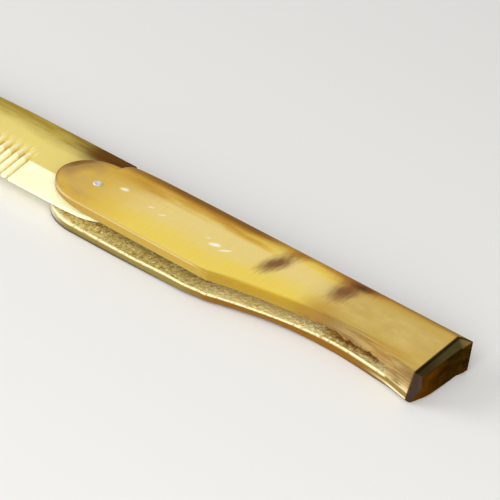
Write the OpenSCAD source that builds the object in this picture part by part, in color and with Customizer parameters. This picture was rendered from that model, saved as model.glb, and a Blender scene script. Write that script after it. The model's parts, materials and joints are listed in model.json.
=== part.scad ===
// Folding pocket comb of horn: a slotted one-piece handle, a comb that folds into it, and the rivet
// they turn on. It lies open on its side. Each piece is drawn with the rivet's axis at x = 0, y = 0
// and the handle's lower face at z = 0, then moved so that the middle of the whole is the origin.

/* [Handle] */
// Thickness of the handle
handle_t = 10; // [9.6:0.1:11]
// From the rivet to the tip of the rounded end
nose_len = 11.1; // [10.9:0.1:12]
// Half width of the rounded end
nose_half_w = 9.8; // [9.6:0.1:10.2]
// From the rivet to the end of the butt
butt_x = 103; // [100:0.1:108]
// From the rivet up to the straight back
back_y = 13.6; // [13.2:0.1:15]
// From the rivet down to the edge at the shoulder
shoulder_h = 10.1; // [9.9:0.1:11]
// From the rivet down to the edge at the waist
waist_h = 3.6; // [2:0.1:6]
// From the rivet down to the edge at the butt
butt_h = 7.6; // [5:0.1:9]
// Place of the shoulder along the handle
shoulder_x = 41; // [36:0.5:46]
// Place of the waist along the handle
waist_x = 76; // [70:0.5:82]

/* [Bevels] */
// Width of the bevel round both faces
edge_bevel = 0.45; // [0.2:0.05:0.6]
// Width of the bevel along the back
back_bevel = 0.9; // [0.3:0.05:1.2]
// Width of the upper bevel where the waist is hollowed
upper_waist_bevel = 1.1; // [0.5:0.1:2.4]
// Width of the lower bevel where the waist is hollowed
lower_waist_bevel = 2.7; // [0.5:0.1:3]
// Width of the lower bevel at the butt
lower_butt_bevel = 1.9; // [0.4:0.1:2.4]
// From the butt's end back to the upper edge of the slope filed on it
butt_bevel = 3.4; // [2:0.1:4.4]
// Turn of the butt's end face from square
butt_skew = 2; // [0:0.5:5]

/* [Slot] */
// Height of the slot's floor
slot_floor = 3.1; // [2.8:0.1:3.4]
// Height of the slot at the rounded end
slot_mouth_h = 4.35; // [4.3:0.05:4.5]
// Height of the slot at the butt
slot_end_h = 3.2; // [3.1:0.05:3.6]
// Where the roof starts to come down
slot_wide_to = 40; // [36:0.5:44]
// Where the roof is down
slot_narrow_from = 78; // [74:0.5:80]
// From the rivet to the slot's closed end
slot_end = 91.5; // [90:0.5:93]
// Thickness of the wall behind the slot
back_wall = 2.3; // [1.8:0.1:2.3]

/* [Comb] */
// From the rivet to the comb's tip
comb_len = 88; // [84:0.5:89]
// Thickness of the comb at its heel
comb_t = 3.75; // [3.4:0.05:3.8]
// Thickness of the comb at its tip
comb_tip_t = 2.6; // [2.3:0.05:2.7]
// Thickness of the teeth at their points
tooth_point_t = 0.6; // [0.5:0.1:1.2]
// Height of the spine above the rivet
spine_y = 16.7; // [15:0.1:18]
// How far the teeth reach below the rivet
teeth_h = 9.3; // [9.1:0.1:9.7]
// Radius of the round heel
heel_r = 9; // [8.6:0.1:9]
// Where the thinning towards the teeth starts
crease_y = -1; // [-3:0.5:2]
// Width of the first gap and of all gaps
tooth_gap = 0.65; // [0.5:0.05:0.9]
// From one tooth to the next
tooth_pitch = 2.35; // [2.2:0.05:2.5]
// Least width of the guard at the comb's tip
end_guard_w = 6; // [5:0.5:8]
// From the rivet to the first gap
first_gap_x = 21.5; // [20:0.5:24]
// Height of the gaps' ends above the rivet
root_y = 5.6; // [4:0.1:7]

/* [Rivet] */
// Radius of the rivet
rivet_r = 1; // [0.75:0.05:1.2]
// How far the rivet's head stands out beyond its shank
rivet_lip = 0.15; // [0.05:0.05:0.5]
// Height of the head above the handle
rivet_proud = 0.25; // [0.1:0.05:0.4]

/* [Hidden] */
$fn = 96;
// Gap between the comb and the slot's floor, and between its heel and the back wall's end
play = 0.3;
stop_gap = 0.2;
// Clearance of the rivet in the comb's bore, all round
bore_clearance = 0.05;
// Overrun of the cutters past the faces that they cut
over = 3;
// Where the back wall starts, and how the edge curves on each side of the waist
wall_start = 0.5;
shoulder_power = 1.75;
butt_power = 1.5;
// Height of a bevel for each millimetre of its width, and the steps that round it
bevel_rise = 0.75;
bevel_steps = 3;
edge_step = 3;
nose_step = 7.5;
// Where the waist's bevels start, are widest and end, along the handle
upper_bevel_from = shoulder_x;
lower_bevel_from = 8;
waist_bevel_at = 56;
waist_bevel_to = 80;
// Where the lower bevel widens again towards the butt, and how far that takes
butt_bevel_from = 86;
butt_bevel_run = 12;
// The step from the rounded end up to the back: place right of the rivet, depth below the back
back_step = [[0, 3.7], [0.35, 2.6], [0.9, 1.7], [1.9, 1.1], [3.4, 0.75], [7, 0.4], [13, 0.1], [20, 0]];
// Fall of the slope filed on the butt, for each millimetre along
butt_fall = 0.9;
// The butt's end face turns out to the back's corner: from this far back and in from the corner
corner_turn = [1.5, 2.6];
// Size of the facet on the back's corner
far_facet = [0.3, 0.3];
// Which way the other facets on the butt face: the edge's corner, the slope's end beside the back,
// the lower face's end and the edge's lower corner
near_facet = [0.92, -1, -0.16];
ridge_facet = [1.48, -5, 4.45];
lower_facet = [1, -0.1, -1];
low_corner_facet = [1, -0.32, -0.32];
// Places of the last three: in from the back, back from the end, and back from the end and out to the edge
ridge_in = 1.2;
lower_back = 2.5;
low_corner = [3.7, 5];
// The comb's free corners, the first gap's shorter length and the taper's run along the comb
tip_spine_r = 9;
tip_guard_r = 2;
first_root_drop = 2.2;
taper_from = 34;
taper_to = 74;
spine_edge = 0.7;
// Where the guard's straight edge ends and where it meets the round heel
guard_end_x = -4;
heel_join_x = -1;
// How far past the points the comb's thinning is drawn
edge_spare = 0.2;
// Height of the head's eased part, as a share of its whole height
head_ease = 0.6;

slot_wall_y = back_y - back_wall;
comb_floor = slot_floor + play;
comb_mid = comb_floor + comb_t / 2;
edge_y = -teeth_h;
tooth_w = tooth_pitch - tooth_gap;
tooth_count = floor((comb_len - end_guard_w - first_gap_x) / tooth_pitch);
middle = [(butt_x - comb_len) / 2, (spine_y - shoulder_h) / 2];

function smooth(t) = t <= 0 ? 0 : t >= 1 ? 1 : t * t * (3 - 2 * t);
function hump(x, from, at, to) = x < at ? smooth((x - from) / (at - from)) : smooth((to - x) / (to - at));

// Half width of the rounded end, left of the rivet
function nose_y(x) = nose_half_w * sqrt(max(0, 1 - pow(x / nose_len, 2)));
// The handle's lower edge seen from above: round, straight to the shoulder, hollowed, out to the butt
function near_y(x) =
    x < 0 ? -nose_y(x)
    : x < shoulder_x ? -nose_half_w - (shoulder_h - nose_half_w) * x / shoulder_x
    : x < waist_x ? -waist_h - (shoulder_h - waist_h) * pow((waist_x - x) / (waist_x - shoulder_x), shoulder_power)
    : -waist_h - (butt_h - waist_h) * pow((x - waist_x) / (butt_x - waist_x), butt_power);
// The upper edge: round, then up a step to the straight back
function far_y(x) = x < 0 ? nose_y(x) : back_y - lookup(x, back_step);
function upper_bevel(x) =
    edge_bevel + (upper_waist_bevel - edge_bevel) * hump(x, upper_bevel_from, waist_bevel_at, waist_bevel_to);
function lower_bevel(x) =
    edge_bevel + (lower_waist_bevel - edge_bevel) * hump(x, lower_bevel_from, waist_bevel_at, waist_bevel_to)
    + (lower_butt_bevel - edge_bevel) * smooth((x - butt_bevel_from) / butt_bevel_run);

// Places along the handle where its outline has points, one of them at the shoulder
step_end = back_step[len(back_step) - 1].x;
stations = concat(
    [for (a = [0 : nose_step : 90 - nose_step]) -nose_len * cos(a)],
    [for (p = back_step) p.x],
    [for (x = [shoulder_x % edge_step : edge_step : butt_x + over]) if (x > step_end + edge_step / 2) x]);
last = len(stations) - 1;
// The outline as rows of x, y, upper bevel width, lower bevel width: out along the lower edge and back
near_rows = [for (x = stations) [x, near_y(x), upper_bevel(x), lower_bevel(x)]];
far_rows = [for (i = [last : -1 : 1])
    let (x = stations[i])
    [x, far_y(x), x > back_step[1].x ? back_bevel : edge_bevel, edge_bevel]];
outline = concat(near_rows, far_rows);
count = len(outline);

// Unit vector that points out of the outline at row i
function outward(i) =
    let (a = outline[(i + count - 1) % count], b = outline[(i + 1) % count], d = [b.x - a.x, b.y - a.y])
    [d.y, -d.x] / norm(d);
// One ring of points: side 1 is the upper bevel and -1 the lower, turn is 0 at the side wall and 90 at the face
function ring(side, turn) =
    [for (i = [0 : count - 1])
        let (row = outline[i], w = side > 0 ? row[2] : row[3], n = outward(i), inset = w * (1 - cos(turn)),
            below_face = w * bevel_rise * (1 - sin(turn)))
        [row.x - n.x * inset, row.y - n.y * inset, side > 0 ? handle_t - below_face : below_face]];

// The handle before it is cut: rings from the lower face up the side to the upper face
module handle_blank() {
    turns = [for (k = [0 : bevel_steps]) 90 * k / bevel_steps];
    rings = concat([for (k = [bevel_steps : -1 : 0]) ring(-1, turns[k])], [for (t = turns) ring(1, t)]);
    top = (len(rings) - 1) * count;
    walls = [for (r = [0 : len(rings) - 2], i = [0 : count - 1])
        let (a = r * count + i, b = r * count + (i + 1) % count)
        each [[a, b + count, b], [a, a + count, b + count]]];
    // Each face is a strip of quads from the lower edge across to the upper edge
    strip = [for (i = [0 : last - 1]) [i, i + 1, count - i - 1, (count - i) % count]];
    lower = [for (q = strip)
        each concat([[q[0], q[1], q[2]]], q[3] == q[0] ? [] : [[q[0], q[2], q[3]]])];
    upper = [for (t = lower) [t[2] + top, t[1] + top, t[0] + top]];
    polyhedron([for (r = rings) each r], concat(lower, upper, walls));
}

// Takes away all that lies on the side of a plane that its normal points to
module trim(point, normal) {
    reach = 60;
    translate(point)
        rotate([0, acos(normal.z / norm(normal)), atan2(normal.y, normal.x)])
            translate([-reach / 2, -reach / 2, 0]) cube(reach);
}

// The butt's end: a skewed face that turns out beside the back, a long slope above it that stops short
// of the back, a short slope below and a facet on each corner
module butt_cuts() {
    slope_x = butt_x - butt_bevel;
    turn = [butt_x - corner_turn.x, back_y - corner_turn.y, 0];
    corner = [butt_x, back_y - far_facet.y, 0];
    intersection() {
        trim(turn, [cos(butt_skew), -sin(butt_skew), 0]);
        trim(turn, [corner.y - turn.y, turn.x - corner.x, 0]);
    }
    intersection() {
        trim([slope_x, 0, handle_t], [butt_fall, 0, 1]);
        trim([slope_x, back_y - ridge_in, handle_t], ridge_facet);
    }
    trim([butt_x - lower_back, 0, 0], lower_facet);
    trim([slope_x, near_y(slope_x), handle_t], near_facet);
    trim([butt_x - low_corner.x, -low_corner.y, 0], low_corner_facet);
    trim([butt_x - far_facet.x, back_y, 0], [far_facet.y, far_facet.x, 0]);
}

// The saw cut that takes the comb: open along the lower edge, its roof coming down towards the butt
module slot() {
    roof = slot_floor + slot_mouth_h;
    low_roof = slot_floor + slot_end_h;
    start = -nose_len - over;
    translate([0, slot_wall_y, 0])
        rotate([90, 0, 0])
            linear_extrude(slot_wall_y + shoulder_h + over)
                polygon([[start, slot_floor], [slot_end, slot_floor], [slot_end, low_roof],
                    [slot_narrow_from, low_roof], [slot_wide_to, roof], [start, roof]]);
    translate([start, -over, slot_floor]) cube([wall_start - start, back_y + 2 * over, slot_mouth_h]);
}

module handle() {
    color("khaki")
        difference() {
            handle_blank();
            butt_cuts();
            slot();
            translate([0, 0, -over]) cylinder(h = handle_t + 2 * over, r = rivet_r);
        }
}

// One tooth, from inside the plate to its round point
module tooth(x) {
    translate([x - tooth_w / 2, edge_y + tooth_w / 2]) square([tooth_w, root_y - edge_y]);
    translate([x, edge_y + tooth_w / 2]) circle(tooth_w / 2);
}

// A quarter-round corner: the square that it fills, with its centre at the inner corner
module round_corner(r, quadrant) {
    rotate(quadrant * 90)
        intersection() {
            circle(r);
            square(r);
        }
}

// The comb seen from above: a plate with a round heel, a guard at each end and the teeth between
module comb_outline() {
    last_gap_x = first_gap_x + tooth_count * tooth_pitch;
    heel_x = wall_start - stop_gap;
    guard_x = -first_gap_x + tooth_gap / 2;
    end_guard_x = -last_gap_x - tooth_gap / 2;
    polygon([[heel_x, 0], [heel_x, spine_y], [-comb_len + tip_spine_r, spine_y],
        [-comb_len, spine_y - tip_spine_r], [-comb_len, root_y], [guard_x, root_y],
        [guard_x, edge_y + tooth_gap], [guard_x + tooth_gap, edge_y], [guard_end_x, edge_y],
        [heel_join_x, -sqrt(pow(heel_r, 2) - pow(heel_join_x, 2))]]);
    translate([-comb_len + tip_spine_r, spine_y - tip_spine_r]) round_corner(tip_spine_r, 1);
    translate([-first_gap_x, root_y - first_root_drop / 2]) square([tooth_w, first_root_drop], center = true);
    circle(heel_r);
    translate([-comb_len, edge_y + tip_guard_r]) square([end_guard_x + comb_len, root_y - edge_y]);
    translate([-comb_len + tip_guard_r, edge_y]) square([end_guard_x + comb_len - tip_guard_r, tip_guard_r]);
    translate([-comb_len + tip_guard_r, edge_y + tip_guard_r]) round_corner(tip_guard_r, 2);
    for (i = [0 : tooth_count - 1]) tooth(-first_gap_x - tooth_pitch * (i + 0.5));
}

// The comb's thickness across it: eased at the spine, full to the crease, thin at the teeth
module comb_section() {
    half = comb_t / 2;
    point = tooth_point_t / 2;
    edge = edge_y - edge_spare;
    rotate([90, 0, 90])
        translate([0, comb_mid, -comb_len - over])
            linear_extrude(comb_len + heel_r + 2 * over)
                polygon([[edge, -point], [crease_y, -half], [spine_y - spine_edge, -half], [spine_y, spine_edge - half],
                    [spine_y, half - spine_edge], [spine_y - spine_edge, half], [crease_y, half], [edge, point]]);
}

// The comb's thickness along it: thinner towards the tip
module comb_taper() {
    right = heel_r + over;
    left = -comb_len - over;
    translate([0, spine_y + over, 0])
        rotate([90, 0, 0])
            linear_extrude(spine_y + heel_r + 2 * over)
                polygon([[left, comb_floor], [right, comb_floor], [right, comb_floor + comb_t],
                    [-taper_from, comb_floor + comb_t], [-taper_to, comb_floor + comb_tip_t],
                    [left, comb_floor + comb_tip_t]]);
}

module comb() {
    color("lemonchiffon")
        difference() {
            intersection() {
                linear_extrude(handle_t) comb_outline();
                comb_section();
                comb_taper();
            }
            cylinder(h = handle_t, r = rivet_r + bore_clearance);
        }
}

// A plain rod, flush below, with a low eased head above
module rivet() {
    ease = rivet_proud * head_ease;
    head_r = rivet_r + rivet_lip;
    top = handle_t + rivet_proud;
    color("silver")
        rotate_extrude()
            polygon([[0, 0], [rivet_r, 0], [rivet_r, handle_t], [head_r, handle_t], [head_r, top - ease],
                [head_r - ease, top], [0, top]]);
}

translate([-middle.x, -middle.y, 0]) {
    handle();
    comb();
    rivet();
}
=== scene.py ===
"""Folding pocket comb of blond horn: the polished handle, the comb that turns out of it and the rivet.

Shapes are worked out in millimetres, with the rivet's axis at x = 0, y = 0 and the handle's lower face at
z = 0, and are put into the frame's metres when their meshes are made.
"""

import json
import math
from types import SimpleNamespace

import bmesh
import bpy
import numpy as np
from bpy.props import FloatProperty, FloatVectorProperty, PointerProperty
from mathutils import Matrix, Vector


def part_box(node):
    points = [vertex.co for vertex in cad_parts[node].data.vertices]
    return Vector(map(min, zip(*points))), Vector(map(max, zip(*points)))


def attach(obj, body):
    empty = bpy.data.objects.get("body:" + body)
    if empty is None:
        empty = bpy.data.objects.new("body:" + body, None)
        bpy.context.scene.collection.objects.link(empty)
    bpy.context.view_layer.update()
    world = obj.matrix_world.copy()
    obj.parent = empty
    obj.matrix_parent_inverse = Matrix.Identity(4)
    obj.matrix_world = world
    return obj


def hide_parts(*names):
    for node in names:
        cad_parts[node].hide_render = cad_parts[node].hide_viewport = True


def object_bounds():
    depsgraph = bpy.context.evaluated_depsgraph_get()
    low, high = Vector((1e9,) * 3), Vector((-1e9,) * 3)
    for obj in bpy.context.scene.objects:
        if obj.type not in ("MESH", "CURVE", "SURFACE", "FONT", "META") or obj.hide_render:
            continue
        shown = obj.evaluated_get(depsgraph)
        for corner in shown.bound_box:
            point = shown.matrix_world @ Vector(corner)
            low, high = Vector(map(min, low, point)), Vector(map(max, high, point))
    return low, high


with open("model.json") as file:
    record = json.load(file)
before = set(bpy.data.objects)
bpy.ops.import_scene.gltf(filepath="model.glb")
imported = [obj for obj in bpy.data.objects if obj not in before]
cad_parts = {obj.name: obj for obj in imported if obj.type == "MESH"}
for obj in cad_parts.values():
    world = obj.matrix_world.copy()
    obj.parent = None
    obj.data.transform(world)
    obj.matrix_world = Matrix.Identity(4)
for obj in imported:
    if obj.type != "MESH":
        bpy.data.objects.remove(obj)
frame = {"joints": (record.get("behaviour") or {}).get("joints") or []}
cad_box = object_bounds()

bl_info = {
    "name": "Folding horn comb",
    "version": (1, 0, 0),
    "blender": (4, 5, 0),
    "location": "View3D > Sidebar > Comb",
    "description": "Builds a folding pocket comb of horn around its packed frame",
    "category": "Add Mesh",
}

MM = 1000.0
PIVOT = Vector(frame["joints"][0]["pos_m"])
HANDLE_LOW, HANDLE_HIGH = (MM * (corner - PIVOT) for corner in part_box("handle"))
COMB_LOW, COMB_HIGH = (MM * (corner - PIVOT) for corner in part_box("comb"))
RIVET_LOW, RIVET_HIGH = (MM * (corner - PIVOT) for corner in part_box("rivet"))
BASE_Z = HANDLE_LOW.z


def length(name, description, default_mm):
    """A size that the user can change, given here in millimetres."""
    default = default_mm / MM
    return FloatProperty(name=name, description=description, default=default, unit="LENGTH", precision=5)


def turn(name, description, default_degrees):
    """An angle that the user can change, given here in degrees."""
    default = math.radians(default_degrees)
    return FloatProperty(name=name, description=description, default=default, subtype="ANGLE")


def share(name, description, default):
    """A plain number that the user can change."""
    return FloatProperty(name=name, description=description, default=default)


def colour(name, description, default):
    """A colour that the user can change, given here as a screen colour, such as "e6cd6a"."""
    screen = np.array([int(default[i : i + 2], 16) for i in (0, 2, 4)]) / 255
    linear = np.where(screen < 0.04045, screen / 12.92, ((screen + 0.055) / 1.055) ** 2.4)
    return FloatVectorProperty(
        name=name, description=description, default=(*linear, 1), size=4, subtype="COLOR", min=0, max=1
    )


class HandleSizes(bpy.types.PropertyGroup):
    """The handle's sizes, measured from the rivet's axis and the lower face"""

    thickness: length("Thickness", "Height of the whole handle", HANDLE_HIGH.z - HANDLE_LOW.z)
    nose_len: length("Rounded end", "From the rivet to the tip of the rounded end", -HANDLE_LOW.x)
    nose_w: length("Rounded end's half width", "From the rivet to the side of the rounded end", 9.8)
    lower_nose: length("Lower rounded end", "From the rivet to the tip of the lower cheek", 11.8)
    butt_x: length("Butt", "From the rivet to the end of the butt", HANDLE_HIGH.x)
    back_y: length("Back", "From the rivet to the straight back", HANDLE_HIGH.y)
    shoulder: length("Shoulder", "From the rivet to the edge at the shoulder", -HANDLE_LOW.y)
    waist: length("Waist", "From the rivet to the edge at the waist", 3.6)
    butt: length("Butt's edge", "From the rivet to the edge at the butt", 7.6)
    shoulder_x: length("Shoulder's place", "Where the edge turns in, along the handle", 41)
    waist_x: length("Waist's place", "Where the edge is furthest in, along the handle", 76)
    edge_bevel: length("Bevel", "Width of the bevel round both faces", 0.45)
    back_bevel: length("Back's bevel", "Width of the bevel along the upper face's back", 0.9)
    upper_waist_bevel: length("Waist's upper bevel", "Its greatest width, on the upper face", 1.1)
    lower_waist_bevel: length("Waist's lower bevel", "Its greatest width, on the lower face", 2.7)
    waist_bevel_at: length("Widest bevels", "Where the waist's bevels are widest", 56)
    waist_bevel_to: length("Waist's bevels to", "Where the waist's bevels are narrow again", 80)
    lower_bevel_from: length("Lower bevel from", "Where the waist's lower bevel starts", 8)
    lower_butt_bevel: length("Butt's lower bevel", "Width of the lower bevel at the butt", 1.9)
    butt_bevel_from: length("Butt's bevel from", "Where the butt's lower bevel starts", 86)
    butt_bevel_run: length("Butt's bevel run", "Length over which it widens", 12)
    butt_bevel: length("Butt's slope", "From the end back to the slope's upper edge", 3.4)
    butt_rim: length("Butt's rim", "Radius of the butt's polished rim", 0.2)
    butt_skew: turn("Butt's turn", "How far the end face is off square", 2)
    slot_floor: length("Slot's floor", "Height of the slot's floor", 3.1)
    slot_mouth: length("Slot's mouth", "Height of the slot at the rounded end", 4.35)
    slot_low: length("Slot's low end", "Height of the slot at the butt", 3.2)
    slot_wide_to: length("Roof falls from", "Where the slot's roof starts to come down", 40)
    slot_narrow_from: length("Roof falls to", "Where the slot's roof is down", 78)
    slot_end: length("Slot's end", "From the rivet to the slot's closed end", 91.5)
    wall: length("Back wall", "Thickness of the wall behind the slot", 2.3)
    lip: length("Lip", "Radius of the slot's polished lips", 0.3)
    lip_wear: length("Lip's wear", "How far the lower lip is worn down beside the comb's heel", 0.4)
    lip_lift: length("Upper lip's lift", "How much thinner the upper cheek is at the rounded end", 0.8)
    lower_in: length("Lower cheek's inset", "How far in its edge is from the upper's, at the waist", 0.65)
    notch: length("Notches", "Size of the notches torn in the upper lip near the slot's end", 0.42)
    saw_depth: length("Saw marks", "Depth of the saw marks in the slot", 0.07)
    grain_depth: length("Sawn grain", "Depth of the even roughness of the sawn faces", 0.016)
    plunge_depth: length("Plunge marks", "Depth of the scallops that the saw left at the slot's end", 0.55)


class CombSizes(bpy.types.PropertyGroup):
    """The comb's sizes, measured from the rivet's axis"""

    tip: length("Tip", "From the rivet to the comb's tip", -COMB_LOW.x)
    floor: length("Lower face", "Height of the comb's lower face", COMB_LOW.z - BASE_Z)
    thickness: length("Thickness", "Thickness at the heel", COMB_HIGH.z - COMB_LOW.z)
    tip_thickness: length("Tip's thickness", "Thickness at the tip", 2.6)
    point_thickness: length("Points' thickness", "Thickness of the wedge just past the teeth's points", 0.6)
    spine: length("Spine", "From the rivet to the spine", COMB_HIGH.y)
    teeth: length("Teeth", "From the rivet to the teeth's points", -COMB_LOW.y)
    heel: length("Heel", "Radius of the round heel", COMB_HIGH.x)
    heel_x: length("Heel's shoulder", "Where the shoulder that stops the comb is", 0.3)
    crease: length("Crease", "Where the wedge towards the teeth starts", -1)
    root: length("Roots", "Height of the gaps' ends above the rivet", 0.6)
    short_root: length("First root", "How much shorter the first gap is", 1.4)
    gap: length("Gap", "Width of the gaps between the teeth", 0.65)
    pitch: length("Pitch", "From one tooth to the next", 2.35)
    first_gap: length("First gap", "From the rivet to the first gap", 21.5)
    end_guard: length("End guard", "Least width of the guard at the tip", 6)
    spine_corner: length("Spine's corner", "Radius of the corner between spine and tip", 9)
    guard_corner: length("Guard's corner", "Radius of the end guard's corner", 2)
    taper_from: length("Thins from", "Where the comb starts to thin towards its tip", 34)
    taper_to: length("Thins to", "Where the comb is at its thinnest", 74)
    edge_round: length("Edge", "Reach of the rounding along the comb's edges", 0.6)
    thin_edge: length("Thin edge", "Reach of the rounding along the guards' thin edge", 0.4)
    run_out: length("Run-out", "Length over which a saw cut fades into the plate", 5.3)


class RivetSizes(bpy.types.PropertyGroup):
    """The rivet's sizes"""

    shank: length("Shank", "Radius of the shank", 1.0)
    head: length("Head", "Radius of the head", RIVET_HIGH.x)
    proud: length("Head's height", "How far the head stands out", RIVET_HIGH.z - HANDLE_HIGH.z)
    dimple: length("Dimple", "Radius of the punch mark in the head", 0.34)
    dimple_depth: length("Dimple's depth", "Depth of the punch mark", 0.12)
    clearance: length("Clearance", "Room round the shank in the comb's hole", 0.05)


class Colours(bpy.types.PropertyGroup):
    """The colours of the horn, the steel and the stage"""

    honey: colour("Honey", "Clear yellow of the handle's face", "f0d45c")
    nose: colour("Nose", "Warm tan of the rounded end", "d8ae40")
    cloud: colour("Cloud", "Milky cream down the middle of the face", "ecd488")
    amber: colour("Amber", "Deeper colour along the back", "c08a24")
    brown: colour("Brown", "Brown of the back's edge", "7c4e04")
    olive: colour("Olive", "Duller tan towards the butt", "c6a755")
    # gold is a painted reflection of dark surroundings on the waist's bevel, darker than the face
    gold: colour("Gold", "Dark gold of the waist's bevel", "a48200")
    # side and rose paint the upper cheek's side walls darker than its face, as painted shade, rose towards
    # the butt
    side: colour("Side", "Deeper yellow of the upper cheek's side", "a28428")
    rose: colour("Rose", "Dull brown of the edge towards the butt", "806424")
    tan: colour("Tan", "Brownish tan inside the rounded end's rim", "a2804c")
    patch: colour("Patch", "Brown of the dark patches", "7a4a26")
    rust: colour("Rust", "Red-brown that runs to the back", "8c4f14")
    pearl: colour("Pearl", "White of the small flecks", "fffbe6")
    # The lower cheek's colours are painted darker than the upper cheek's, as shade: its bevel, which faces
    # down, darkest, and its edge at the waist, set in under the upper cheek, a darker amber that is partly
    # its own colour
    lower_side: colour("Lower side", "Dull tan of the lower cheek's side", "86743c")
    lower_bevel: colour("Lower bevel", "Dark olive brown of the lower cheek's bevel", "50421c")
    lower_amber: colour("Lower amber", "Amber of the lower cheek's edge at the waist", "855600")
    # slope, end grain, end amber and facet paint the butt: its dark end is partly end grain and partly
    # painted shade, its amber is a painted glow, and the facet's grey is a painted glint
    slope: colour("Slope", "Dark olive of the slope on the butt", "4a4224")
    end_grain: colour("End grain", "Dark brown of the butt's end", "1e1004")
    end_amber: colour("End amber", "Amber that glows in the butt's end", "3e2a06")
    facet: colour("Facet", "Brownish grey of the butt's corner facet", "54463e")
    sawn: colour("Sawn", "Rough face left by the saw", "f6e494")
    sawn_dark: colour("Sawn, dark", "Hollows of the sawn face", "c0a850")
    # sawn, light is painted light on the slot's floor from about 34 mm on, where more light reaches in;
    # nearer the heel the floor keeps the darker colours
    sawn_light: colour("Sawn, light", "Torn fibres of the sawn face", "fff0b0")
    # rim is a painted highlight along the polished lips and on a few edges
    rim: colour("Rim", "Cream of the polished lips", "fcefba")
    # comb, pale is paler horn, partly a painted sheen on the guard's bevel and painted highlights on the
    # teeth
    comb_pale: colour("Comb, pale", "Almost white horn of the teeth and guard", "fffad2")
    comb_body: colour("Comb, body", "Yellow of the comb's plate", "ead67a")
    comb_dark: colour("Comb, dark", "Olive gold of the spine", "9a7e24")
    # comb, brown is a painted shadow on the comb beside the handle
    comb_brown: colour("Comb, brown", "Brown of the comb beside the handle", "5e3600")
    groove: colour("Groove", "Gold in the grooves between the teeth", "ecd680")
    steel: colour("Steel", "The rivet", "f6f5f2")
    steel_worn: colour("Steel, worn", "Faint hammer wear on the rivet", "c4c0bb")
    floor: colour("Floor", "The surface that the comb lies on", "eae9e6")


class StageSizes(bpy.types.PropertyGroup):
    """The camera's place and the lights' strength"""

    azimuth: turn("Azimuth", "How far round the camera stands, from the front to the right", 31.062)
    elevation: turn("Elevation", "How far above the horizon the camera stands", 35.754)
    roll: turn("Roll", "How far the picture is turned", 8.383)
    distance: length("Distance", "From the camera to the point that it looks at", 736.5)
    target_x: length("Target along", "Point that the camera looks at, right of the rivet", 39.923)
    target_y: length("Target back", "Point that the camera looks at, behind the rivet", 10.664)
    target_z: length("Target up", "Point that the camera looks at, above the floor", 5.0)
    lens: share("Lens", "Focal length in millimetres on a 36 mm sensor", 216)
    world: share("World", "Strength of the even light from all round", 0.27)
    key: share("Key", "Watts of the low light at the left", 8.5)
    fill: share("Fill", "Watts of the light at the front, which reaches into the slot", 11.5)
    overhead: share("Overhead", "Watts of the broad light above", 1.1)


class CombModel(bpy.types.PropertyGroup):
    """Everything that the operators read"""

    handle: PointerProperty(type=HandleSizes)
    comb: PointerProperty(type=CombSizes)
    rivet: PointerProperty(type=RivetSizes)
    colours: PointerProperty(type=Colours)
    stage: PointerProperty(type=StageSizes)


def in_mm(settings):
    """The settings by name, with the lengths in millimetres."""
    kinds = settings.bl_rna.properties
    scale = {name: MM if kinds[name].unit == "LENGTH" else 1 for name in settings.__annotations__}
    return SimpleNamespace(**{name: getattr(settings, name) * factor for name, factor in scale.items()})


# Arithmetic on whole arrays


def ramp(t):
    """From 0 to 1 as t goes from 0 to 1, level at both ends."""
    t = np.clip(t, 0, 1)
    return t * t * (3 - 2 * t)


def eased(x, start, full):
    """From 0 where x is at start to 1 where it is at full, level at both ends."""
    return ramp((x - start) / (full - start))


def plateau(x, start, full, hold, end):
    """From 0 at start up to 1 at full, level to hold and back to 0 at end."""
    return eased(x, start, full) * eased(x, end, hold)


def hump(x, start, top, end):
    """From 0 at start up to 1 at top and back to 0 at end, level at all three."""
    return np.where(x < top, eased(x, start, top), eased(x, end, top))


def soft_max(a, b, reach):
    """The larger of two values, with the corner between them rounded over reach."""
    h = np.clip(0.5 + 0.5 * (a - b) / reach, 0, 1)
    return b + (a - b) * h + reach * h * (1 - h)


def soft_min(a, b, reach):
    """The smaller of two values, with the corner between them rounded over reach."""
    return -soft_max(-a, -b, reach)


def mix(a, b, t):
    """a at t = 0, b at t = 1 and the straight line between."""
    return a + (b - a) * t


def spaced(n, crowd=0.0):
    """n values from 0 to 1, crowded towards both ends as crowd goes from 0 to 1."""
    t = np.linspace(0, 1, n)
    return mix(t, 0.5 - 0.5 * np.cos(np.pi * t), crowd)


# Meshes


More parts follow.
